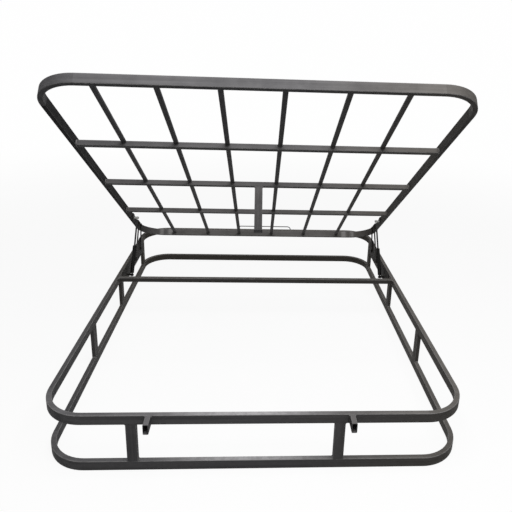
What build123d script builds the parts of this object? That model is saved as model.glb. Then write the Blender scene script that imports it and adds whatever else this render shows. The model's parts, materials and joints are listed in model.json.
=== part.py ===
from build123d import *
import os
from math import atan2, cos, degrees, hypot, radians, sin, sqrt

# Driving dimensions in millimetres. X is across the bed, Y runs from its foot to its head, Z is up.
# While the pieces are made, Y = 0 is the front face of the base and Z = 0 is the floor.
bed_width = 1600
bed_length = 2000
base_height = 240
rail_height = 40
rail_thick = 20
rail_edge = 3
bend_radius = 165

# Base: posts, crossbar and the two open tube stubs on the front
post_width = 40
front_post_x = {"left": -456, "right": 306}
side_post_y = {"left": (690, 1225, 1812), "right": (650, 1225, 1812)}
square_bar = 25
crossbar_y = 1162
stub_x = {"left": -392, "right": 348}
stub_reach = 50
stub_wall = 2

# Lifting platform, measured from its rear edge towards the foot and up from its underside
lift_angle = 35
closed_gap = 5
open_rear_y = 1855
open_rear_z = 235
deck_recess = 15
cross_bar_at = (546, 1018, 1485)
slat_width = 20
slat_height = 10
slat_edge = 1.5
slat_ends_x = ((-571, -586), (-342, -369), (-130, -149), (94, 78), (318, 308), (548, 523))
leg_x = -5
leg_width = 40
leg_depth = 20
leg_cap_height = 10
leg_cap_edge = 1.5
leg_foot_gap = 2
stop_rod = 6
stop_left = -140
stop_right = 228
stop_height = 31
stop_bend = 22

# Lifting gear on each side, across the bed: plate, arm, pin head and gas spring in layers
plate_thick = 3
arm_thick = 4
arm_width = 22
arm_to_plate = 1
pin_radius = 5
pin_play = 0.05
head_radius = 9
head_thick = 3
head_play = 0.5
spring_x = 755

# Lifting gear seen from the side: pivots as (from the rear edge, up) on the platform, or (Y, Z)
front_pivot = (232, 20)
front_arm_length = 235
rear_pivot = (168, 25)
rear_arm_length = 155
spring_pivot = (374, 14)
spring_foot = (1345, 170)
cylinder_radius = 11
cylinder_length = 178
cylinder_start = 14
neck_radius = 4
rod_radius = 5
rod_play = 0.1
rod_inside = 34
eye_radius = 8
eye_width = 12
eye_bite = 2
stud_radius = 4
spacer_radius = 6
stud_end_gap = 2
plate_low = 150
plate_front = 1232
plate_low_front = 1300
plate_rear = 1765
hinge_plate = (165, 243)
bracket_plate = (354, 394)
plate_corner = 8
plate_top = 275
plate_top_span = (1670, 1712)

# Worked out from the driving dimensions
inner_face = bed_width / 2 - rail_thick
clear_height = base_height - 2 * rail_height
closed_rear = (bed_length, base_height + closed_gap)
deck_level = rail_height - deck_recess
origin_y = (bed_length - stub_reach) / 2
arm_low_x = inner_face - plate_thick - arm_to_plate - arm_thick
platform_open = Pos(0, open_rear_y, open_rear_z) * Rot(-lift_angle, 0, 0)
pieces = {}


def keep(name, shape):
    """Keep a piece under its name, moved so that Y = 0 is the middle of the whole frame's length."""
    pieces[name] = Pos(0, -origin_y, 0) * shape


def bar(x, y, z, size, along, edge=rail_edge):
    """A straight closed tube about its centre, with its long edges rounded."""
    box = Box(*size)
    return Pos(x, y, z) * fillet(box.edges().filter_by(along), edge)


def corner_bend(x, y, start):
    """A quarter turn of rail about (x, y), from the angle start."""
    profile = Plane.XZ * Pos(bend_radius - rail_thick / 2, 0) * RectangleRounded(
        rail_thick, rail_height, rail_edge)
    return Pos(x, y, 0) * Rot(0, 0, start) * revolve(profile, Axis.Z, 90)


def loop(place):
    """The four straight rails and the four bends of one loop, about its centre, put at place."""
    half_width = bed_width / 2
    half_length = bed_length / 2
    across = (bed_width - 2 * bend_radius, rail_thick, rail_height)
    endways = (rail_thick, bed_length - 2 * bend_radius, rail_height)
    corner_x = half_width - bend_radius
    corner_y = half_length - bend_radius
    rails = {
        "front_rail": bar(0, -half_length + rail_thick / 2, 0, across, Axis.X),
        "rear_rail": bar(0, half_length - rail_thick / 2, 0, across, Axis.X),
        "left_rail": bar(-half_width + rail_thick / 2, 0, 0, endways, Axis.Y),
        "right_rail": bar(half_width - rail_thick / 2, 0, 0, endways, Axis.Y),
        "corner_bends": Compound([
            corner_bend(corner_x, corner_y, 0),
            corner_bend(-corner_x, corner_y, 90),
            corner_bend(-corner_x, -corner_y, 180),
            corner_bend(corner_x, -corner_y, 270)]),
    }
    return {name: place * rail for name, rail in rails.items()}


def hollow_tube(size, wall, along, edge=rail_edge):
    """An open-ended tube about its centre, with its long edges rounded."""
    bore = [side - 2 * wall for side in size]
    bore["XYZ".index(along)] = 2 * max(size)
    axis = {"X": Axis.X, "Y": Axis.Y, "Z": Axis.Z}[along]
    return bar(0, 0, 0, size, axis, edge) - bar(0, 0, 0, bore, axis, edge - wall / 2)


def base():
    """Two loops, one over the other, the posts between them, the crossbar and the front stubs."""
    for level, z in (("lower", rail_height / 2), ("upper", base_height - rail_height / 2)):
        for name, rail in loop(Pos(0, bed_length / 2, z)).items():
            keep(f"{level}_{name}", rail)
    middle = base_height / 2
    for side, sign in (("left", -1), ("right", 1)):
        keep(f"front_post_{side}", bar(
            front_post_x[side], rail_thick / 2, middle, (post_width, rail_thick, clear_height), Axis.Z))
        keep(f"side_posts_{side}", Compound([bar(
            sign * (bed_width - rail_thick) / 2, y, middle, (rail_thick, post_width, clear_height),
            Axis.Z) for y in side_post_y[side]]))
        stub = hollow_tube((rail_thick, stub_reach, rail_height), stub_wall, "Y")
        keep(f"front_stub_{side}", Pos(stub_x[side], -stub_reach / 2, base_height - rail_height / 2) * stub)
    keep("crossbar", bar(
        0, crossbar_y, base_height - square_bar / 2, (2 * inner_face, square_bar, square_bar), Axis.X))


def on_platform(u, n):
    """(Y, Z) of a point of the raised platform, u from its rear edge and n up from its underside."""
    turn = radians(lift_angle)
    return (open_rear_y - u * cos(turn) + n * sin(turn), open_rear_z + u * sin(turn) + n * cos(turn))


def on_closed_platform(u, n):
    """(Y, Z) of the same point with the platform down on the base."""
    return (closed_rear[0] - u, closed_rear[1] + n)


def base_pivot(point, arm_length):
    """The pivot on the base that is an arm's length from a platform pivot, both raised and closed."""
    raised = on_platform(*point)
    closed = on_closed_platform(*point)
    across = (closed[0] - raised[0], closed[1] - raised[1])
    chord = hypot(*across)
    down = sqrt(arm_length ** 2 - chord ** 2 / 4)
    middle = ((raised[0] + closed[0]) / 2, (raised[1] + closed[1]) / 2)
    return (middle[0] + across[1] / chord * down, middle[1] - across[0] / chord * down)


def slats():
    """The slats that run lengthways, each in pieces cut between the rails and the cross bars."""
    stops = [rail_thick]
    for centre in cross_bar_at:
        stops += [centre - square_bar / 2, centre + square_bar / 2]
    stops.append(bed_length - rail_thick)
    level = deck_level - slat_height / 2
    for i, (rear_x, front_x) in enumerate(slat_ends_x):
        lean = degrees(atan2(front_x - rear_x, bed_length))
        whole = Box(slat_width, bed_length + slat_width, slat_height)
        whole = chamfer(whole.edges().filter_by(Axis.Y), slat_edge)
        whole = Pos((rear_x + front_x) / 2, -bed_length / 2, level) * Rot(0, 0, lean) * whole
        parts = []
        for low, high in zip(stops[::2], stops[1::2]):
            span = Pos(0, -(low + high) / 2, level) * Box(bed_width, high - low, 2 * slat_height)
            parts += (whole & span).solids()
        keep(f"slat_{i + 1}", platform_open * Compound(parts))


def mattress_stop():
    """A round rod bent to a low hoop, with its two feet on the rear rail."""
    low = rail_height
    high = rail_height + stop_height
    path = FilletPolyline(
        (stop_left, low), (stop_left, high), (stop_right, high), (stop_right, low), radius=stop_bend)
    standing = Plane((0, -rail_thick / 2, 0), x_dir=(1, 0, 0), z_dir=(0, -1, 0))
    wire = standing * path
    start = Plane(wire @ 0, z_dir=wire % 0)
    return sweep(start * Circle(stop_rod / 2), path=wire)


def platform():
    """The raised loop with its cross bars, slats, centre leg and mattress stop."""
    for name, rail in loop(platform_open * Pos(0, -bed_length / 2, rail_height / 2)).items():
        keep(f"platform_{name}", rail)
    for name, u in zip(("rear", "middle", "front"), cross_bar_at):
        keep(f"cross_bar_{name}", platform_open * bar(
            0, -u, deck_level - square_bar / 2, (2 * inner_face, square_bar, square_bar), Axis.X))
    slats()
    leg_length = base_height + closed_gap - leg_foot_gap
    leg_u = cross_bar_at[1] + square_bar / 2 - leg_depth / 2
    tube_length = leg_length - leg_cap_height
    keep("centre_leg", platform_open * bar(
        leg_x, -leg_u, -tube_length / 2, (leg_width, leg_depth, tube_length), Axis.Z))
    cap_size = (leg_width + 2 * leg_cap_edge, leg_depth + 2 * leg_cap_edge, leg_cap_height)
    keep("leg_cap", platform_open * bar(
        leg_x, -leg_u, -leg_length + leg_cap_height / 2, cap_size, Axis.Z, rail_edge + leg_cap_edge))
    keep("mattress_stop", platform_open * mattress_stop())


def disc(point, radius, low_x, high_x):
    """A round piece with its axis across the bed, at (Y, Z), from low_x to high_x."""
    return extrude(Plane.YZ.offset(low_x) * Pos(*point) * Circle(radius), high_x - low_x)


def plate(points, low_x, thick, corner):
    """A flat plate that faces across the bed, with its corners rounded."""
    outline = Plane.YZ.offset(low_x) * make_face(Polyline(*points, close=True))
    return extrude(fillet(outline.vertices(), corner), thick)


def arm(low_end, high_end):
    """A flat bar with round ends between two pivots, with a hole at its lower one."""
    run = (high_end[0] - low_end[0], high_end[1] - low_end[1])
    middle = ((low_end[0] + high_end[0]) / 2, (low_end[1] + high_end[1]) / 2)
    outline = Pos(*middle) * Rot(0, 0, degrees(atan2(run[1], run[0]))) * SlotCenterToCenter(
        hypot(*run), arm_width)
    outline -= Pos(*low_end) * Circle(pin_radius + pin_play)
    return extrude(Plane.YZ.offset(arm_low_x) * outline, arm_thick)


def pivot_pin(point):
    """A pin from a plate through an arm, with a round head on the inner side."""
    head_face = arm_low_x - head_play
    shaft = disc(point, pin_radius, head_face, inner_face - plate_thick)
    return shaft + disc(point, head_radius, head_face - head_thick, head_face)


def along_spring(radius, start, end, foot, angle):
    """A round piece along the gas spring, from start to end, measured from the spring's foot."""
    piece = Pos(0, 0, start) * extrude(Circle(radius), end - start)
    return Pos(spring_x, *foot) * Rot(angle - 90, 0, 0) * piece


def spring_stud(point, outer_x):
    """A stud across the bed that reaches from a plate through a spring's eye, with its end head."""
    eye_outer = spring_x + eye_width / 2 + head_play
    eye_inner = spring_x - eye_width / 2 - head_play
    return (disc(point, stud_radius, eye_inner, outer_x) + disc(point, spacer_radius, eye_outer, outer_x)
            + disc(point, spacer_radius, eye_inner - head_thick, eye_inner))


def spring_eye(point):
    return disc(point, eye_radius, spring_x - eye_width / 2, spring_x + eye_width / 2)


def rail_plate(start, end):
    """A plate on the inner face of the platform's side rail, between two distances from its rear edge."""
    outline = RectangleRounded(end - start, rail_height, plate_corner)
    solid = extrude(Plane.YZ.offset(inner_face - plate_thick) * outline, plate_thick)
    return platform_open * Pos(0, -(start + end) / 2, rail_height / 2) * solid


def lifting_gear():
    """The pieces of the lifting gear on the right side, by name."""
    front_low = base_pivot(front_pivot, front_arm_length)
    rear_low = base_pivot(rear_pivot, rear_arm_length)
    front_high = on_platform(*front_pivot)
    rear_high = on_platform(*rear_pivot)
    spring_top = on_platform(*spring_pivot)
    rise = 18
    base_outline = [
        (plate_front, base_height - rail_height), (plate_low_front, plate_low),
        (plate_rear - 15, plate_low), (plate_rear, plate_low + 15),
        (plate_rear, base_height), (plate_top_span[1] + rise, base_height),
        (plate_top_span[1], plate_top), (plate_top_span[0], plate_top),
        (plate_top_span[0] - rise, base_height), (plate_front, base_height)]
    plate_x = inner_face - plate_thick
    base_plate = plate(base_outline, plate_x, plate_thick, 6)
    base_plate += pivot_pin(front_low)
    base_plate += pivot_pin(rear_low)
    base_plate += spring_stud(spring_foot, plate_x)

    hinge = rail_plate(*hinge_plate) + pivot_pin(front_high)
    bracket = rail_plate(*bracket_plate)

    front_arm = arm(front_low, front_high) - disc(
        front_high, pin_radius + pin_play, arm_low_x, arm_low_x + arm_thick)
    rear_arm = arm(rear_low, rear_high) + disc(
        rear_high, head_radius, arm_low_x - head_thick, arm_low_x)

    run = (spring_top[0] - spring_foot[0], spring_top[1] - spring_foot[1])
    angle = degrees(atan2(run[1], run[0]))
    length = hypot(*run)
    cylinder = along_spring(cylinder_radius, cylinder_start, cylinder_length, spring_foot, angle)
    cylinder += along_spring(neck_radius, eye_radius - eye_bite, cylinder_start, spring_foot, angle)
    cylinder += spring_eye(spring_foot)
    cylinder -= disc(spring_foot, stud_radius + pin_play, spring_x - eye_width, spring_x + eye_width)
    bore_start = cylinder_length - rod_inside - spring_stroke() - 10
    cylinder -= along_spring(rod_radius + rod_play, bore_start, cylinder_length + 1, spring_foot, angle)
    rod_end = length - eye_radius + eye_bite
    rod = along_spring(rod_radius, cylinder_length - rod_inside, rod_end, spring_foot, angle)
    rod += spring_eye(spring_top)
    rod += spring_stud(spring_top, plate_x - stud_end_gap)
    return {
        "base_plate": base_plate,
        "platform_plates": Compound([hinge, bracket]),
        "front_arm": front_arm,
        "rear_arm": rear_arm,
        "gas_cylinder": cylinder,
        "gas_rod": rod,
    }


def spring_stroke():
    """How much shorter the gas spring is with the platform down."""
    raised = on_platform(*spring_pivot)
    closed = on_closed_platform(*spring_pivot)
    long = hypot(raised[0] - spring_foot[0], raised[1] - spring_foot[1])
    short = hypot(closed[0] - spring_foot[0], closed[1] - spring_foot[1])
    return long - short


base()
platform()
for name, piece in lifting_gear().items():
    keep(f"{name}_right", piece)
    keep(f"{name}_left", mirror(piece, about=Plane.YZ))

os.makedirs("parts", exist_ok=True)
for name, piece in pieces.items():
    export_step(piece, f"parts/{name}.step")
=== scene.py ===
"""A gas lift bed frame of painted steel tube: its paint, its weld beads and the studio round it."""
import json

import bpy
import numpy as np
from mathutils import Matrix


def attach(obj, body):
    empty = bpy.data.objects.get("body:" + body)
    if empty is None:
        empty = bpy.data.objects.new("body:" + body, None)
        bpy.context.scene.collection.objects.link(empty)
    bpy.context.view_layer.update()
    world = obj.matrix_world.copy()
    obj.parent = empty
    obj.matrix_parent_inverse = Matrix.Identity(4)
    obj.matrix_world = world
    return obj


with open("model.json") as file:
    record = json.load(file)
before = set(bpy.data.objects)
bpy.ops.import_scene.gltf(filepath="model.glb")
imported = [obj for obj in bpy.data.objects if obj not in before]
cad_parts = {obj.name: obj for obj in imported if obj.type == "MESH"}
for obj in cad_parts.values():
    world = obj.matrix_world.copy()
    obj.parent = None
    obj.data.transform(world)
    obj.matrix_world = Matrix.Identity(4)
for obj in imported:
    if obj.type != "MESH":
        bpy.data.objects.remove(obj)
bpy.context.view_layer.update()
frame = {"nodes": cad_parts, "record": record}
record = frame["record"]

# The photograph's camera, fitted to the loops' edges; metres and radians, picture places in pixels
PICTURE = 512
FOCAL_PIXELS = 526.0
PRINCIPAL = (286.36, 203.35)
CAMERA_PLACE = (-0.0217, -2.5786, 1.528)
YAW, PITCH, ROLL = 0.0618, -0.2934, -0.0350
SENSOR_MM = 36.0

# The base's directions, and those of the raised platform, whose deck slopes up towards the foot
X, Y, Z = range(3)
LEVEL = np.eye(3)
DECK = next(m for m in record["mounts"] if m["name"] == "deck_face")
UP = np.array(DECK["axis"])
TOE = np.array((0.0, -UP[Z], UP[Y]))
RAISED = np.array((LEVEL[X], TOE, UP))
SLOPE = float(np.arctan2(UP[Y], UP[Z]))
BEND_RADIUS = 0.165

# Lamps: the world's share on the object, and the softbox overhead, a little towards the foot
WORLD_SHARE = 0.24
SOFTBOX_SIZE = 2.6
SOFTBOX_PLACE = (0.45, -1.7, 3.4)
SOFTBOX_WATTS = 120.0

# The floor: what it throws back, what is seen of it, and how its own white grows with the distance
WHITE = 0.995
FLOOR_BOUNCE, FLOOR_SEEN = 0.22, 0.9
FLOOR_ROUGH, FLOOR_GLOSS = 0.9, 0.1
FLOOR_GLOW = (1.6, 6.0, 0.91, 1.0)
FLOOR_RADIUS = 30.0
FLOOR_TURNS, FLOOR_RINGS = 96, 12

# Colours of the tubes' paint, as shares of red, green and blue
CHARCOAL, CHARCOAL_LIGHT = (0.023, 0.023, 0.025), (0.032, 0.031, 0.033)
# Painted light: lighter greys for faces that look along the bed
ENDWAYS_LIT, ENDWAYS_LIT_PALE = (0.058, 0.057, 0.059), (0.088, 0.086, 0.089)
WARM_PAINT = (0.049, 0.042, 0.032)
# Painted shade: the black that some rails are darkened towards
SHADE_BLACK = (0.008, 0.008, 0.008)
# Dust on upward faces, and painted light on them
DUST_AND_LIGHT_GREY, DUST_AND_LIGHT_WARM = (0.150, 0.146, 0.151), (0.166, 0.151, 0.127)
# Painted highlight on the front rails' tops, standing in for a reflection
HIGHLIGHT_GREY = (0.42, 0.412, 0.42)
# Edges: rubbed wear, and a painted highlight along them
EDGE_WEAR_AND_HIGHLIGHT = (0.23, 0.225, 0.225)
# Ground steel at the rear rail's ends, brightened as a painted highlight
GROUND_STEEL_GLINT = (0.42, 0.41, 0.40)

# Even noises in the tubes' paint: scale, detail and, where it isn't the usual one, roughness
NOISE_ROUGH = 0.55
CLOUD = (5.0, 4.0, 0.6)
MOTTLE = (38.0, 4.0, 0.65)
PEEL = (900.0, 2.0)
SPECKS = (210.0, 1.0)

# Noises drawn out along a tube: scale across it, scale along it, and detail
LINES = (260.0, 5.0, 2.0)
STREAKS = (70.0, 1.3, 2.0)
SCRATCHES = (800.0, 14.0, 1.0)

# Marks in the paint: where each starts and is full on its noise or direction, its share and colour
MOTTLE_MARKS = (0.55, 0.75, 0.35, (0.046, 0.044, 0.044))
STREAK_MARKS = (0.5, 0.72, 0.5, (0.048, 0.047, 0.049))
# Painted shade: faces that look out to the sides are painted blacker
FLANK_SHADE = (0.5, 0.9, 0.45, (0.010, 0.010, 0.010))
SCRATCH_MARKS = (0.66, 0.76, 0.35, (0.14, 0.137, 0.137))
SPECK_MARKS = (0.70, 0.76, 0.4, (0.17, 0.165, 0.16))

# Steps: where each starts and is full, and for some the values before and after it
CHARCOAL_STEP = (0.35, 0.68)
# Painted light on faces that look along the bed: this step, the next, and the step with height
ENDWAYS_LIT_STEP = (0.35, 0.65)
ENDWAYS_STEP = (0.82, 0.98)
ENDWAYS_LIT_BY_HEIGHT = (0.03, 0.2, 0.7, 1.0)
HEADWARDS = (-0.9, 0.9)
WARM_BASE, WARM_RAISED = 0.7, 0.3
RIGHTWARDS = (0.0, 0.75, 0.0, 0.5)
# Dust and painted light on faces that look up: the next three steps
SKY_STEP = (0.2, 0.7)
DUST_AND_LIGHT_CLOUD = (0.3, 0.7, 0.6, 1.0)
DUST_AND_LIGHT_STREAKS = (0.35, 0.65, 0.75, 1.0)
# Rubbed wear and painted highlight on the long edges: the next three
EDGE_STEP = (0.3, 0.8)
EDGE_PATCHES = (0.36, 0.58, 0.35, 1.0)
EDGE_SHARE = 0.7
TUBE_ROUGH = (0.3, 0.75, 0.62, 0.78)
PEEL_DEPTH, LINE_DEPTH = 0.00008, 0.00012

# Gloss, and by the start or end of a rail's name, how much dust and painted light lies on it, and
# how much painted shade darkens its paint and dulls its gloss
PAINT_GLOSS = 0.18
GEAR_GLOSS = 0.08
DUST_AND_LIGHT = {"platform_front": 1.0, "platform_rear": 1.0, "front_rail": 0.95, "front_stub": 0.95,
        "left_rail": 0.4, "right_rail": 0.95, "slat": 0.5}
USUAL_DUST_AND_LIGHT = 0.75
# Painted shade: these rails are darkened and dulled as a whole
SHADED_RAILS = {"platform_left_rail": 0.75, "platform_right_rail": 0.35, "crossbar": 0.25}

# A painted highlight, standing in for a reflection, as a pale patchy stretch on top of both front
# rails of the base: its share on each, its middle, core and reach along X, and how patchy it is
PAINTED_HIGHLIGHT = {"upper_front_rail": 0.85, "lower_front_rail": 0.95}
HIGHLIGHT_MIDDLE, HIGHLIGHT_CORE, HIGHLIGHT_REACH = -0.045, 0.03, 0.4
HIGHLIGHT_PATCHES = (0.35, 0.6, 0.65, 1.0)

# Bright spots on the platform's rear rail, partly ground steel and partly a painted highlight: middle,
# half length and share, the core of each as a share of its half length, and how patchy they are
GROUND_NODES = ("platform_rear_rail", "platform_corner_bends")
GROUND_GLINT_SPOTS = ((0.660, 0.020, 0.32), (0.602, 0.026, 0.42))
GROUND_CORE = 0.2
GROUND_PATCHES = (0.3, 0.5)

# Plain finishes by the start of a node's name: dark and light colour, roughness and gloss
GEAR_PAINT = ((0.008, 0.007, 0.006), (0.017, 0.015, 0.013), 0.55, GEAR_GLOSS)
PLAIN_FINISHES = {
    "gas_cylinder": ((0.003, 0.003, 0.003), (0.006, 0.006, 0.005), 0.42, GEAR_GLOSS),
    "base_plate": GEAR_PAINT,
    "platform_plates": GEAR_PAINT,
    "front_arm": GEAR_PAINT,
    "rear_arm": GEAR_PAINT,
    "mattress_stop": ((0.10, 0.10, 0.10), (0.16, 0.155, 0.15), 0.45, PAINT_GLOSS),
    "leg_cap": ((0.010, 0.010, 0.010), (0.018, 0.018, 0.018), 0.6, PAINT_GLOSS),
}
SPRING_END_BLACK = ((0.004, 0.004, 0.004), (0.008, 0.008, 0.008), 0.34, 0.3)
PLAIN_CLOUD = (24.0, 5.0, 0.6)
PLAIN_PEEL = (700.0, 2.0)
PLAIN_STEP = (0.35, 0.7)
PLAIN_ROUGH_STEP = (0.3, 0.7)
PLAIN_ROUGH_SPREAD = 0.12
PLAIN_PEEL_DEPTH = 0.0001

# The gas springs' rods, and how far the plating at the top of each reaches, in eye radii
ROD_TURNINGS = (40.0, 700.0, 2.0)
ROD_BLACK, ROD_GREY, PLATED = (0.012, 0.012, 0.012), (0.022, 0.021, 0.021), (0.24, 0.24, 0.23)
ROD_STEP = (0.35, 0.65)
ROD_ROUGH = (0.3, 0.7, 0.34, 0.46)
EYE_RADIUS = 0.008
PLATED_STEP = (1.3, 2.2)

# Weld beads: leg length, ripples and section
WELD_LEG = 0.0048
FINE_LEG = 0.003
WELD_STEP = 0.0032
WELD_RINGS_PER_STEP = 4
WELD_SIDES = 9
WELD_INSET = 0.0025
FEWEST_STEPS = 3
HUMP_DEPTH = 0.12
END_SHARPNESS, END_SIZE = 14, 0.02
FLATNESS = 0.16
ROOT = -0.12
RING_STEPS = 48
RING_HUMPS = 8

# Stitch welds behind each base plate: where they start, as shares of the plate's length
STITCHES = (0.14, 0.38, 0.62, 0.84)
STITCH_LENGTH = 0.035

# Places nearer than this are one place, and bars further apart than this are two bars
SAME_PLACE = 0.001
BARS_APART = 0.1

# The gas springs' turned ends: distance along the spring from its foot, height, smaller radius, and
# which way along the spring the end looks
SPRING_RADIUS = 0.011
SPRING_ENDS = ((0.178, 0.0045, 0.0052, 1), (0.014, 0.0042, 0.0042, -1))
TURN_STEPS = 64
TURN_RINGS = 9
TURN_SINK = 0.0002


def directions():
    """The camera's right, up and back directions, from its yaw, pitch and roll."""
    forward = np.array((np.sin(YAW) * np.cos(PITCH), np.cos(YAW) * np.cos(PITCH), np.sin(PITCH)))
    level = np.cross(forward, LEVEL[Z])
    level /= np.linalg.norm(level)
    down = np.cross(forward, level)
    right = np.cos(ROLL) * level + np.sin(ROLL) * down
    up = np.sin(ROLL) * level - np.cos(ROLL) * down
    return right, up, -forward


def make_camera():
    """The camera at the photograph's place, with the lens and the small shift of its frame."""
    camera = bpy.data.objects.new("camera", bpy.data.cameras.new("camera"))
    bpy.context.scene.collection.objects.link(camera)
    turn = Matrix([[float(axis[i]) for axis in directions()] for i in range(3)])
    camera.matrix_world = Matrix.Translation(CAMERA_PLACE) @ turn.to_4x4()
    camera.data.sensor_width = SENSOR_MM
    camera.data.lens = SENSOR_MM * FOCAL_PIXELS / PICTURE
    camera.data.shift_x = 0.5 - PRINCIPAL[X] / PICTURE
    camera.data.shift_y = PRINCIPAL[Y] / PICTURE - 0.5
    bpy.context.scene.camera = camera


class Nodes:
    """A node tree, with one short call for each kind of node that is used here."""

    def __init__(self, tree):
        self.nodes = tree.nodes
        self.links = tree.links

    def add(self, kind, **settings):
        made = self.nodes.new(kind)
        for name, value in settings.items():
            setattr(made, name, value)
        return made

    def join(self, value, socket):
        """Puts a number, a colour of three shares or another node's output into a socket."""
        if isinstance(value, bpy.types.NodeSocket):
            self.links.new(value, socket)
        elif isinstance(value, tuple):
            socket.default_value = (*value, 1.0)
        else:
            socket.default_value = value

    def math(self, operation, *values):
        made = self.add("ShaderNodeMath", operation=operation)
        for value, socket in zip(values, made.inputs):
            self.join(value, socket)
        return made.outputs[0]

    def product(self, first, *others):
        for other in others:
            first = self.math("MULTIPLY", first, other)
        return first

    def length(self, first, second):
        """The length of a flat vector: the root of the sum of its parts' squares."""
        squares = [self.math("POWER", part, 2.0) for part in (first, second)]
        return self.math("SQRT", self.math("ADD", *squares))

    def step(self, value, low, high, out_low=0.0, out_high=1.0):
        """A smooth step from out_low to out_high as value goes from low to high."""
        made = self.add("ShaderNodeMapRange", interpolation_type="SMOOTHSTEP")
        for number, socket in zip((value, low, high, out_low, out_high), made.inputs):
            self.join(number, socket)
        return made.outputs[0]

    def blend(self, share, first, second):
        made = self.add("ShaderNodeMix", data_type="RGBA")
        self.join(share, made.inputs["Factor"])
        self.join(first, made.inputs["A"])
        self.join(second, made.inputs["B"])
        return made.outputs["Result"]

    def parts(self, vector):
        made = self.add("ShaderNodeSeparateXYZ")
        self.join(vector, made.inputs[0])
        return made.outputs

    def rays(self):
        """Two outputs: one for camera rays alone, and one for those of camera, mirror and glass."""
        path = self.add("ShaderNodeLightPath").outputs
        either = self.math("MAXIMUM", path["Is Glossy Ray"], path["Is Transmission Ray"])
        return path["Is Camera Ray"], self.math("MAXIMUM", path["Is Camera Ray"], either)


class Shader(Nodes):
    """A material's nodes, round its Principled surface."""

    def __init__(self, name):
        self.material = bpy.data.materials.new(name)
        self.material.use_nodes = True
        super().__init__(self.material.node_tree)
        self.surface = self.nodes["Principled BSDF"]
        self.place = self.add("ShaderNodeTexCoord").outputs

    def noise(self, place, scale, detail, rough=NOISE_ROUGH):
        made = self.add("ShaderNodeTexNoise")
        self.join(place, made.inputs["Vector"])
        made.inputs["Scale"].default_value = scale
        made.inputs["Detail"].default_value = detail
        made.inputs["Roughness"].default_value = rough
        return made.outputs["Fac"]

    def drawn(self, place, axis, across, along, detail):
        """Noise drawn out along one axis, from its scale across that axis and along it."""
        scale = [across] * 3
        scale["XYZ".index(axis)] = along
        return self.noise(self.turned(place, scale=scale), 1.0, detail)

    def turned(self, vector, angle=0.0, move=(0, 0, 0), scale=(1, 1, 1), kind="POINT"):
        made = self.add("ShaderNodeMapping", vector_type=kind)
        self.join(vector, made.inputs["Vector"])
        if kind != "NORMAL":
            made.inputs["Location"].default_value = move
        made.inputs["Rotation"].default_value = (angle, 0, 0)
        made.inputs["Scale"].default_value = scale
        return made.outputs["Vector"]

    def marked(self, body, value, low, high, share, colour):
        """A colour over the body, whose share steps up as the value goes from low to high."""
        return self.blend(self.step(value, low, high, 0.0, share), body, colour)

    def bump(self, height, distance, before=None):
        made = self.add("ShaderNodeBump")
        made.inputs["Strength"].default_value = 1.0
        made.inputs["Distance"].default_value = distance
        self.join(height, made.inputs["Height"])
        if before is not None:
            self.join(before, made.inputs["Normal"])
        return made.outputs["Normal"]

    def finish(self, gloss, **sockets):
        self.surface.inputs["Specular IOR Level"].default_value = gloss
        for name, value in sockets.items():
            self.join(value, self.surface.inputs[name.replace("_", " ")])
        return self.material


def share_for(name, table, usual):
    """A node's share from a table that is keyed by the start or the end of names."""
    return next((share for part, share in table.items()
                 if name.startswith(part) or name.endswith(part)), usual)


def ground_glint_spots(s, body, level, mottle):
    """Bright spots near the ends of the platform's rear rail, where its welded ends were dressed, partly
    bare steel and partly a painted highlight.

    A spot's share falls from full in its core to nothing at its half length along the rail, and it
    fades out towards the foot over half a bend's radius.
    """
    own = s.parts(level)
    across = s.math("ABSOLUTE", own["X"])
    rear = float(-corners("platform_rear_rail", RAISED)[0][Y])
    rearmost = s.step(own["Y"], rear - BEND_RADIUS, rear - BEND_RADIUS / 2)
    for middle, half, share in GROUND_GLINT_SPOTS:
        near = s.math("ABSOLUTE", s.math("SUBTRACT", across, middle))
        spot = s.step(near, half * GROUND_CORE, half, share, 0.0)
        spot = s.product(spot, s.step(mottle, *GROUND_PATCHES), rearmost)
        body = s.blend(spot, body, GROUND_STEEL_GLINT)
    return body


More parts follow.
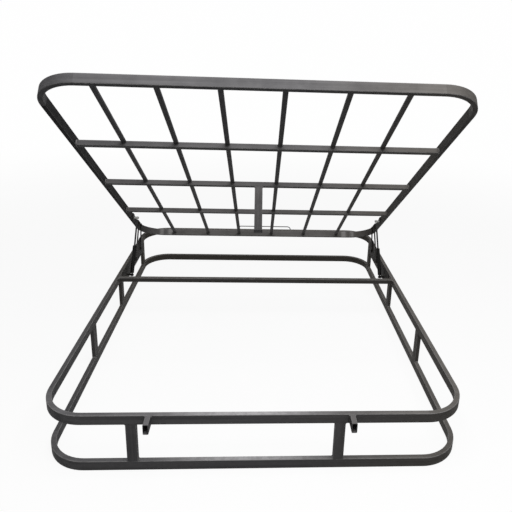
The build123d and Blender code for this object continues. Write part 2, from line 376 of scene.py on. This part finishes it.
def tube_paint(name, along, tilted=False):
    """Brushed-on charcoal paint on a tube that runs along one axis of its own frame.

    The own frame is the base's, or the raised platform's turned level. Streaks left by drawing and
    rolling run along the tube. Faces that look along the bed are painted lighter, as painted light,
    and those that look out to its sides are painted blacker, as painted shade. What looks towards the
    sky is greyed, partly by dust and partly as painted light. The paint is warmer towards the head
    end and the right side. The long edges are lighter, partly as rubbed wear and partly as a painted
    highlight: an edge is where the product of the normal's two parts across the tube is large.
    """
    s = Shader(f"{name}_paint")
    shade = share_for(name, SHADED_RAILS, 0.0)
    highlight = share_for(name, PAINTED_HIGHLIGHT, 0.0)
    angle = SLOPE if tilted else 0.0
    level = s.turned(s.place["Object"], angle=angle)
    facing = s.parts(s.turned(s.place["Normal"], angle=angle, kind="NORMAL"))
    normal, place = s.parts(s.place["Normal"]), s.parts(s.place["Object"])
    streaks = s.drawn(level, along, *STREAKS)
    cloud = s.noise(level, *CLOUD)
    mottle = s.noise(level, *MOTTLE)

    body = s.blend(s.step(cloud, *CHARCOAL_STEP), CHARCOAL, CHARCOAL_LIGHT)
    body = s.marked(body, mottle, *MOTTLE_MARKS)
    body = s.marked(body, streaks, *STREAK_MARKS)
    # Painted light: faces that look along the bed are painted lighter, from a little above the floor up
    endways = s.step(s.math("ABSOLUTE", normal["Y"]), *ENDWAYS_STEP)
    endways = s.product(endways, s.step(place["Z"], *ENDWAYS_LIT_BY_HEIGHT))
    body = s.blend(endways, body, s.blend(s.step(streaks, *ENDWAYS_LIT_STEP), ENDWAYS_LIT, ENDWAYS_LIT_PALE))
    # Painted shade: faces that look out to the bed's sides are darkened
    outward = s.product(s.math("SIGN", place["X"]), normal["X"])
    body = s.marked(body, outward, *FLANK_SHADE)
    headwards = s.step(place["Y"], *HEADWARDS, 0.0, WARM_RAISED if tilted else WARM_BASE)
    warm = s.math("MAXIMUM", headwards, s.step(place["X"], *RIGHTWARDS))
    body = s.blend(warm, body, WARM_PAINT)
    # Painted shade: some rails are darkened towards black as a whole
    if shade:
        body = s.blend(shade, body, SHADE_BLACK)

    # Faces that look towards the sky are greyed, partly as dust and partly as painted light
    sky = s.step(normal["Z"], *SKY_STEP)
    dust_and_light = s.product(sky, s.step(cloud, *DUST_AND_LIGHT_CLOUD), s.step(streaks, *DUST_AND_LIGHT_STREAKS),
                      share_for(name, DUST_AND_LIGHT, USUAL_DUST_AND_LIGHT))
    body = s.blend(dust_and_light, body, s.blend(warm, DUST_AND_LIGHT_GREY, DUST_AND_LIGHT_WARM))
    # Painted highlight: a pale patchy stretch on the front rails' tops, standing in for a reflection
    if highlight:
        off = s.math("ABSOLUTE", s.math("SUBTRACT", place["X"], HIGHLIGHT_MIDDLE))
        highlighted = s.step(off, HIGHLIGHT_CORE, HIGHLIGHT_REACH, highlight, 0.0)
        highlighted = s.product(sky, s.step(mottle, *HIGHLIGHT_PATCHES), highlighted)
        body = s.blend(highlighted, body, HIGHLIGHT_GREY)

    body = s.marked(body, s.drawn(level, along, *SCRATCHES), *SCRATCH_MARKS)
    body = s.marked(body, s.noise(level, *SPECKS), *SPECK_MARKS)
    # Long edges lighter, partly rubbed wear and partly a painted highlight
    if along == "Z":
        edge = s.product(facing["X"], facing["Y"], 2.0)
    else:
        edge = s.product(facing["Z"], s.length(facing["X"], facing["Y"]), 2.0)
    wear_and_highlight = s.product(s.step(s.math("ABSOLUTE", edge), *EDGE_STEP), s.step(mottle, *EDGE_PATCHES))
    body = s.blend(s.product(wear_and_highlight, EDGE_SHARE), body, EDGE_WEAR_AND_HIGHLIGHT)
    # Ground spots, partly bare steel and partly a painted highlight
    if name in GROUND_NODES:
        body = ground_glint_spots(s, body, level, mottle)

    relief = s.bump(s.noise(level, *PEEL), PEEL_DEPTH)
    relief = s.bump(s.drawn(level, along, *LINES), LINE_DEPTH, relief)
    rough = s.step(mottle, *TUBE_ROUGH)
    return s.finish(PAINT_GLOSS * (1 - shade), Base_Color=body, Roughness=rough, Normal=relief)


def plain_paint(name, low, high, rough, gloss):
    """Paint with a soft mottle and a fine peel, for the lifting gear and the small parts."""
    s = Shader(f"{name}_paint")
    cloud = s.noise(s.place["Object"], *PLAIN_CLOUD)
    body = s.blend(s.step(cloud, *PLAIN_STEP), low, high)
    rough = s.step(cloud, *PLAIN_ROUGH_STEP, rough, rough + PLAIN_ROUGH_SPREAD)
    relief = s.bump(s.noise(s.place["Object"], *PLAIN_PEEL), PLAIN_PEEL_DEPTH)
    return s.finish(gloss, Base_Color=body, Roughness=rough, Normal=relief)


def spring_rod(name):
    """A blackened rod with fine marks round it, and bright plated metal about the eye at its top.

    The eye's middle is one eye radius in from the node's far and high sides, and the plated share
    falls from one to nothing with the distance from the eye's axis.
    """
    s = Shader(f"{name}_metal")
    high = corners(name)[1]
    move = (0.0, float(EYE_RADIUS - high[Y]), float(EYE_RADIUS - high[Z]))
    off = s.parts(s.turned(s.place["Object"], move=move))
    near, far = (EYE_RADIUS * radii for radii in PLATED_STEP)
    plated = s.step(s.length(off["Y"], off["Z"]), near, far, 1.0, 0.0)
    marks = s.drawn(s.place["Object"], "Z", *ROD_TURNINGS)
    dark = s.blend(s.step(marks, *ROD_STEP), ROD_BLACK, ROD_GREY)
    body = s.blend(plated, dark, PLATED)
    return s.finish(PAINT_GLOSS, Base_Color=body, Metallic=plated, Roughness=s.step(marks, *ROD_ROUGH))


def running_axis(name):
    """The axis that a node's tube runs along in its own frame."""
    if name.startswith(("front_post", "side_posts", "centre_leg")):
        return "Z"
    if name.endswith(("left_rail", "right_rail")) or name.startswith(("slat", "front_stub")):
        return "Y"
    return "X"


def paint_everything():
    """Each node's finish: plain paint by its name, the gas springs' rods, and tube paint on the rest."""
    raised = record["behaviour"]["bodies"]["lifting_platform"]
    for name in sorted(frame["nodes"]):
        plain = next((PLAIN_FINISHES[start] for start in PLAIN_FINISHES if name.startswith(start)), None)
        if plain:
            material = plain_paint(name, *plain)
        elif name.startswith("gas_rod"):
            material = spring_rod(name)
        else:
            material = tube_paint(name, running_axis(name), name in raised)
        mesh = frame["nodes"][name].data
        mesh.materials.clear()
        mesh.materials.append(material)


def places_of(node, axes=LEVEL):
    """A node's vertices, each as its three places along the axes."""
    mesh = frame["nodes"][node].data
    places = np.empty(len(mesh.vertices) * 3, np.float32)
    mesh.vertices.foreach_get("co", places)
    return places.reshape(-1, 3).astype(float) @ np.array(axes).T


def corners(node, axes=LEVEL):
    """Lowest and highest place of a node along three directions."""
    places = places_of(node, axes)
    return places.min(0), places.max(0)


def bead_section(flatness):
    """A bead's section in a corner, as its places along the two faces.

    It follows a quarter arc from one face to the other, whose radius is 1 - flatness * sin(twice
    the angle), and goes back through the corner, a little inside the metal.
    """
    angle = np.linspace(0, np.pi / 2, WELD_SIDES - 1)
    radius = 1 - flatness * np.sin(2 * angle)
    return np.append(np.cos(angle) * radius, ROOT), np.append(np.sin(angle) * radius, ROOT)


def bead_rings(start, end, first, second, leg=WELD_LEG):
    """Rings of a rippled weld bead in the corner along start to end, between two faces.

    A ring's points are corner + leg * size(s) * (a first + b second), where (a, b) is the section
    and size(s) is a row of half sine humps that falls to nothing at both ends.
    """
    length = np.linalg.norm(end - start)
    steps = max(int(round(length / WELD_STEP)), FEWEST_STEPS)
    s = np.linspace(0, 1, steps * WELD_RINGS_PER_STEP + 1)
    hump = 1 - HUMP_DEPTH + HUMP_DEPTH * np.abs(np.sin(np.pi * s * steps))
    close = np.sqrt(np.clip(1 - np.abs(2 * s - 1) ** END_SHARPNESS, END_SIZE, 1))
    a, b = bead_section(FLATNESS)
    section = np.outer(a, first) + np.outer(b, second)
    size = (leg * hump * close)[:, None, None]
    return start + s[:, None, None] * (end - start) + size * section[None]


def closed_tube(rings, round_again=False):
    """Vertices and faces of a tube through the rings, closed at its ends or into a ring of its own.

    The walls' signed volume is the sum of the skewed boxes that their corners span with the origin.
    Where it is below nothing the tube is inside out, and every face is turned about.
    """
    count, sides = rings.shape[:2]
    points = rings.reshape(-1, 3)
    spans = count if round_again else count - 1
    i, j = np.meshgrid(np.arange(spans), np.arange(sides), indexing="ij")
    k, n = (j + 1) % sides, (i + 1) % count
    walls = np.stack([i * sides + j, i * sides + k, n * sides + k, n * sides + j], -1).reshape(-1, 4)
    ends = np.empty((0, 3), int)
    if not round_again:
        points = np.concatenate([points, [rings[0].mean(0), rings[-1].mean(0)]])
        j = np.arange(sides)
        k = (j + 1) % sides
        last = (count - 1) * sides
        ends = np.concatenate([
            np.stack([np.full(sides, count * sides), k, j], -1),
            np.stack([np.full(sides, count * sides + 1), last + j, last + k], -1)])
    one, two, three, four = points[walls.T]
    volume = np.sum(np.cross(one, two) * three) + np.sum(np.cross(one, three) * four)
    if volume < 0:
        walls, ends = walls[:, ::-1], ends[:, ::-1]
    return points, walls, ends


def joined_piece(name, tubes, body, material):
    """One smooth mesh of many closed tubes, riding on a body."""
    points, faces, offset = [], [], 0
    for place, walls, ends in tubes:
        points.append(place)
        faces += (walls + offset).tolist() + (ends + offset).tolist()
        offset += len(place)
    mesh = bpy.data.meshes.new(name)
    mesh.from_pydata(np.concatenate(points), [], faces)
    mesh.polygons.foreach_set("use_smooth", np.ones(len(mesh.polygons), bool))
    mesh.materials.append(material)
    piece = bpy.data.objects.new(name, mesh)
    bpy.context.scene.collection.objects.link(piece)
    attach(piece, body)


def end_beads(node_places, axes, run, at, away, sides, leg=WELD_LEG):
    """Beads round one end of a bar that runs along axis number run and ends on a flat face.

    The end's outline is read from the vertices at that place. A bead lies in the corner between
    the face and each named side, and runs along the axis that is left.
    """
    end = node_places[np.abs(node_places[:, run] - at) < SAME_PLACE]
    low, high = end.min(0), end.max(0)
    tubes = []
    for across, side in sides:
        along = X + Y + Z - run - across
        start = np.zeros(3)
        start[run] = at
        start[across] = high[across] if side > 0 else low[across]
        finish = start.copy()
        start[along] = low[along] + WELD_INSET
        finish[along] = high[along] - WELD_INSET
        first, second = side * LEVEL[across], away * LEVEL[run]
        tubes.append(closed_tube(bead_rings(*(v @ axes for v in (start, finish, first, second)), leg)))
    return tubes


def bar_beads(node, axes, run, sides, leg=WELD_LEG, apart=None):
    """The beads at both ends of each bar of a node, whose bars may stand apart along one axis.

    A bar's ends are its places along the run, to the millimetre, taken in turn as a low end, whose
    bead lies on its high side, and a high end.
    """
    node_places = places_of(node, axes)
    groups = [node_places]
    if apart is not None:
        order = node_places[np.argsort(node_places[:, apart])]
        groups = np.split(order, np.flatnonzero(np.diff(order[:, apart]) > BARS_APART) + 1)
    tubes = []
    for group in groups:
        stops = np.unique(np.round(group[:, run], 3))
        stops = stops[np.append(True, np.diff(stops) > 2 * SAME_PLACE)]
        for number, at in enumerate(stops):
            exact = group[np.abs(group[:, run] - at) < SAME_PLACE, run].mean()
            tubes += end_beads(group, axes, run, exact, 1 if number % 2 == 0 else -1, sides, leg)
    return tubes


def ring_bead(middle, axes, radius, leg):
    """A rippled bead round the foot of a rod: a quarter-arc section carried round a circle.

    A point is middle + (radius + leg * size * a) outward + leg * size * b up, where outward turns
    once round the rod and size is a ring of half sine humps.
    """
    turn = np.linspace(0, 2 * np.pi, RING_STEPS, endpoint=False)[:, None, None]
    outward = np.cos(turn) * axes[X] + np.sin(turn) * axes[Y]
    a, b = (part[None, :, None] for part in bead_section(0))
    size = leg * (1 - HUMP_DEPTH + HUMP_DEPTH * np.abs(np.sin(turn * RING_HUMPS / 2)))
    return closed_tube(middle + radius * outward + size * (a * outward + b * axes[Z]), round_again=True)


def turned_end(foot, along, at, height, inner, sign):
    """A rounded end on a cylinder: a quarter-ellipse shoulder turned about the spring's axis.

    A point is foot + (at + sign height sin v) along + r (cos u side + sin u other), where r falls
    from the cylinder's radius to the inner one as 1 - cos v rises, and the section goes back down
    inside to close itself.
    """
    side = LEVEL[X]
    other = np.cross(along, side)
    v = np.linspace(0, np.pi / 2, TURN_RINGS)
    radius = inner + (SPRING_RADIUS - inner) * np.cos(v)
    radius = np.append(radius, (inner, (inner + SPRING_RADIUS) / 2))
    rise = np.append(height * np.sin(v), (-TURN_SINK, -TURN_SINK))
    u = np.linspace(0, 2 * np.pi, TURN_STEPS, endpoint=False)[:, None, None]
    rings = radius[None, :, None] * (np.cos(u) * side + np.sin(u) * other)
    rings = foot + rings + (at + sign * rise)[None, :, None] * along
    return closed_tube(rings, round_again=True)


def spring_ends():
    """The rolled gland end and the rounded foot of both gas cylinders."""
    joints = {j["name"]: j for j in record["behaviour"]["joints"]}
    foot = np.array(joints["spring_swing"]["pos_m"], float)
    along = np.array(joints["rod_slide"]["axis"], float)
    along /= np.linalg.norm(along)
    tubes = []
    for side in ("left", "right"):
        foot[X] = np.mean([corner[X] for corner in corners(f"gas_cylinder_{side}")])
        tubes += [turned_end(foot, along, *end) for end in SPRING_ENDS]
    return tubes


def stitch_beads(side, outward):
    """Short beads under a side rail, in its corner with the back of the base plate."""
    plate_low, plate_high = corners(f"base_plate_{side}")
    rail_low, rail_high = corners(f"upper_{side}_rail")
    inner = rail_low[X] if outward > 0 else rail_high[X]
    tubes = []
    for share in STITCHES:
        along = plate_low[Y] + share * (plate_high[Y] - plate_low[Y])
        start = np.array((inner, along, rail_low[Z]))
        finish = start + STITCH_LENGTH * LEVEL[Y]
        tubes.append(closed_tube(bead_rings(start, finish, outward * LEVEL[X], -LEVEL[Z])))
    return tubes


def base_beads():
    """Beads at the posts, the stubs and the crossbar, and stitches behind each base plate."""
    tubes = []
    for side, outward in (("left", -1), ("right", 1)):
        tubes += bar_beads(f"front_post_{side}", LEVEL, Z, ((X, -1), (X, 1)))
        tubes += bar_beads(f"side_posts_{side}", LEVEL, Z, ((Y, -1), (Y, 1)), apart=Y)
        stub = places_of(f"front_stub_{side}")
        tubes += end_beads(stub, LEVEL, Y, stub[:, Y].max(), -1, ((X, -1), (X, 1)))
        tubes += stitch_beads(side, outward)
    return tubes + bar_beads("crossbar", LEVEL, X, ((Y, -1), (Y, 1), (Z, -1)))


def platform_beads():
    """Beads at the cross bars, the slats, the leg and the hoop's feet."""
    tubes = []
    for place in ("rear", "middle", "front"):
        tubes += bar_beads(f"cross_bar_{place}", RAISED, X, ((Y, -1), (Y, 1), (Z, -1)))
    for name in sorted(n for n in frame["nodes"] if n.startswith("slat_")):
        tubes += bar_beads(name, RAISED, Y, ((X, -1), (X, 1), (Z, -1)), FINE_LEG)
    leg = places_of("centre_leg", RAISED)
    tubes += end_beads(leg, RAISED, Z, leg[:, Z].max(), -1, ((X, -1), (X, 1), (Y, -1)))
    hoop = places_of("mattress_stop", RAISED)
    feet = hoop[hoop[:, Z] < hoop[:, Z].min() + SAME_PLACE]
    between = feet[:, X].mean()
    for foot in (feet[feet[:, X] < between], feet[feet[:, X] > between]):
        middle = (foot.min(0) + foot.max(0)) / 2
        tubes.append(ring_bead(middle @ RAISED, RAISED, np.ptp(foot[:, X]) / 2, FINE_LEG))
    return tubes


def make_floor():
    """A pale round floor that fades to white, as rings of points at (r cos u, r sin u) round one."""
    angle, share = np.meshgrid(np.arange(FLOOR_TURNS) * 2 * np.pi / FLOOR_TURNS,
                               np.linspace(0, 1, FLOOR_RINGS + 1)[1:])
    radius = FLOOR_RADIUS * share
    places = np.stack([radius * np.cos(angle), radius * np.sin(angle), 0 * radius], -1)
    points = np.concatenate([places.reshape(-1, 3), [(0, 0, 0)]])
    i, j = np.meshgrid(np.arange(FLOOR_RINGS - 1), np.arange(FLOOR_TURNS), indexing="ij")
    k = (j + 1) % FLOOR_TURNS
    i, outer = i * FLOOR_TURNS, (i + 1) * FLOOR_TURNS
    quads = np.stack([i + j, outer + j, outer + k, i + k], -1).reshape(-1, 4)
    fan = np.stack([np.full(FLOOR_TURNS, len(points) - 1), j[0], k[0]], -1)
    mesh = bpy.data.meshes.new("floor")
    mesh.from_pydata(points, [], quads.tolist() + fan.tolist())
    floor = bpy.data.objects.new("floor", mesh)
    bpy.context.scene.collection.objects.link(floor)

    s = Shader("floor_white")
    camera, seen = s.rays()
    colour = s.blend(camera, (FLOOR_BOUNCE,) * 3, (FLOOR_SEEN,) * 3)
    mesh.materials.append(s.finish(FLOOR_GLOSS, Base_Color=colour, Roughness=FLOOR_ROUGH))
    glow = s.add("ShaderNodeEmission")
    s.join((WHITE,) * 3, glow.inputs["Color"])
    place = s.parts(s.place["Object"])
    away = s.length(place["X"], place["Y"])
    mixed = s.add("ShaderNodeMixShader")
    s.join(s.product(seen, s.step(away, *FLOOR_GLOW)), mixed.inputs[0])
    s.join(s.surface.outputs[0], mixed.inputs[1])
    s.join(glow.outputs[0], mixed.inputs[2])
    s.join(mixed.outputs[0], s.nodes["Material Output"].inputs["Surface"])


def light_studio():
    """The white world, whose light on the object is only a share of it, and a softbox overhead."""
    world = bpy.data.worlds.new("white")
    bpy.context.scene.world = world
    world.use_nodes = True
    sky = Nodes(world.node_tree)
    seen = sky.rays()[1]
    background = sky.nodes["Background"].inputs
    sky.join((1.0, 1.0, 1.0), background["Color"])
    sky.join(sky.step(seen, 0.0, 1.0, WORLD_SHARE, WHITE), background["Strength"])

    lamp = bpy.data.objects.new("softbox", bpy.data.lights.new("softbox", "AREA"))
    bpy.context.scene.collection.objects.link(lamp)
    lamp.data.shape = "SQUARE"
    lamp.data.size = SOFTBOX_SIZE
    lamp.data.energy = SOFTBOX_WATTS
    lamp.location = SOFTBOX_PLACE


make_camera()
paint_everything()
bead_paint = tube_paint("bead", "X")
joined_piece("base_welds", base_beads(), "base_frame", bead_paint)
joined_piece("platform_welds", platform_beads(), "lifting_platform", bead_paint)
end_paint = plain_paint("spring_end", *SPRING_END_BLACK)
joined_piece("gas_spring_ends", spring_ends(), "gas_cylinders", end_paint)
make_floor()
light_studio()
bpy.context.scene.view_settings.view_transform = "Standard"
